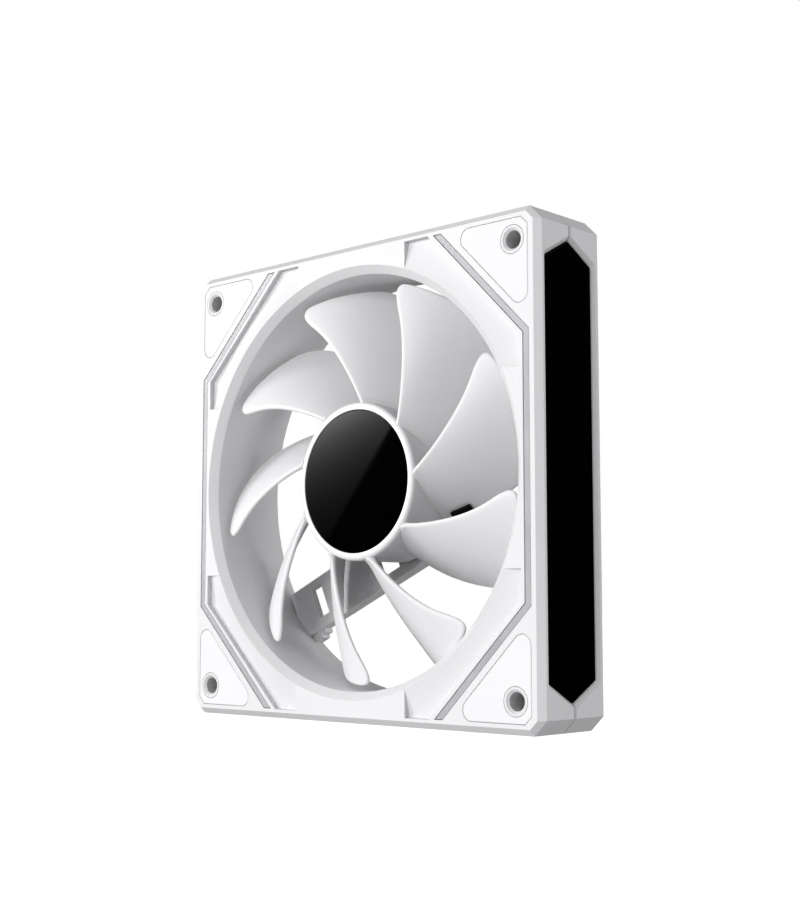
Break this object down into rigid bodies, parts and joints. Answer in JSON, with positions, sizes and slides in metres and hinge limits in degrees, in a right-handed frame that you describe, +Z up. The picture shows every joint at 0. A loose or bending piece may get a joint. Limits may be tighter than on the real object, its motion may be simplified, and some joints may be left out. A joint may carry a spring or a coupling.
{
  "type": "case fan",
  "caption": "Square computer case fan with a mirror-capped bladed impeller, corner mounting pads, light strips and mirror side panels.",
  "frame": {"origin": "middle of the bottom edge face the fan stands on, half way through its depth", "axes": "+Y is the way the air flows, along the rotor's axis, from the intake face to the outlet face; +Z is up, +X is to the right seen from the intake side"},
  "size_m": [0.12, 0.025, 0.12],
  "materials": {
    "white_frame": "satin moulded",
    "white_pad": "matte",
    "white_blade": "satin moulded",
    "diffuser": "frosted",
    "black_mirror": "polished black",
    "circuit_board": "solder mask",
    "steel": "rolled",
    "magnet": "sintered ferrite",
    "brass": "turned",
    "copper": "enamelled copper wire",
    "black_plastic": "moulded",
    "nylon": "moulded"
  },
  "bodies": {
    "frame": {"front_frame": "white_frame", "rear_frame": "white_frame", "front_pad_top_left": "white_pad", "rear_pad_top_left": "white_pad", "frame_screw_top_left": "steel", "front_pad_top_right": "white_pad", "rear_pad_top_right": "white_pad", "frame_screw_top_right": "steel", "front_pad_bottom_left": "white_pad", "rear_pad_bottom_left": "white_pad", "frame_screw_bottom_left": "steel", "front_pad_bottom_right": "white_pad", "rear_pad_bottom_right": "white_pad", "frame_screw_bottom_right": "steel", "light_strip_left": "diffuser", "strip_board_left": "circuit_board", "side_mirror_left": "black_mirror", "side_light_guide_left": "diffuser", "side_board_left": "circuit_board", "light_strip_right": "diffuser", "strip_board_right": "circuit_board", "side_mirror_right": "black_mirror", "side_light_guide_right": "diffuser", "side_board_right": "circuit_board", "motor_cover": "white_pad", "channel_cover": "white_frame", "lead_strip": "nylon", "power_socket": "black_plastic", "bearing_tube": "brass", "sleeve_bearing": "brass", "thrust_pad": "nylon", "stator_core": "steel", "bobbin_front": "nylon", "bobbin_rear": "nylon", "coil_1": "copper", "coil_2": "copper", "coil_3": "copper", "coil_4": "copper", "motor_board": "circuit_board", "hall_sensor": "black_plastic"},
    "rotor": {"impeller": "white_blade", "balance_clip": "black_plastic", "hub_cap": "black_mirror", "rotor_yoke": "steel", "ring_magnet": "magnet", "shaft": "steel", "shaft_clip": "steel"}
  },
  "joints": [
    {"name": "rotor_spin", "type": "hinge", "parent": "frame", "child": "rotor", "pos_m": [0, 0, 0.06], "axis": [0, 1, 0], "continuous": true}
  ]
}
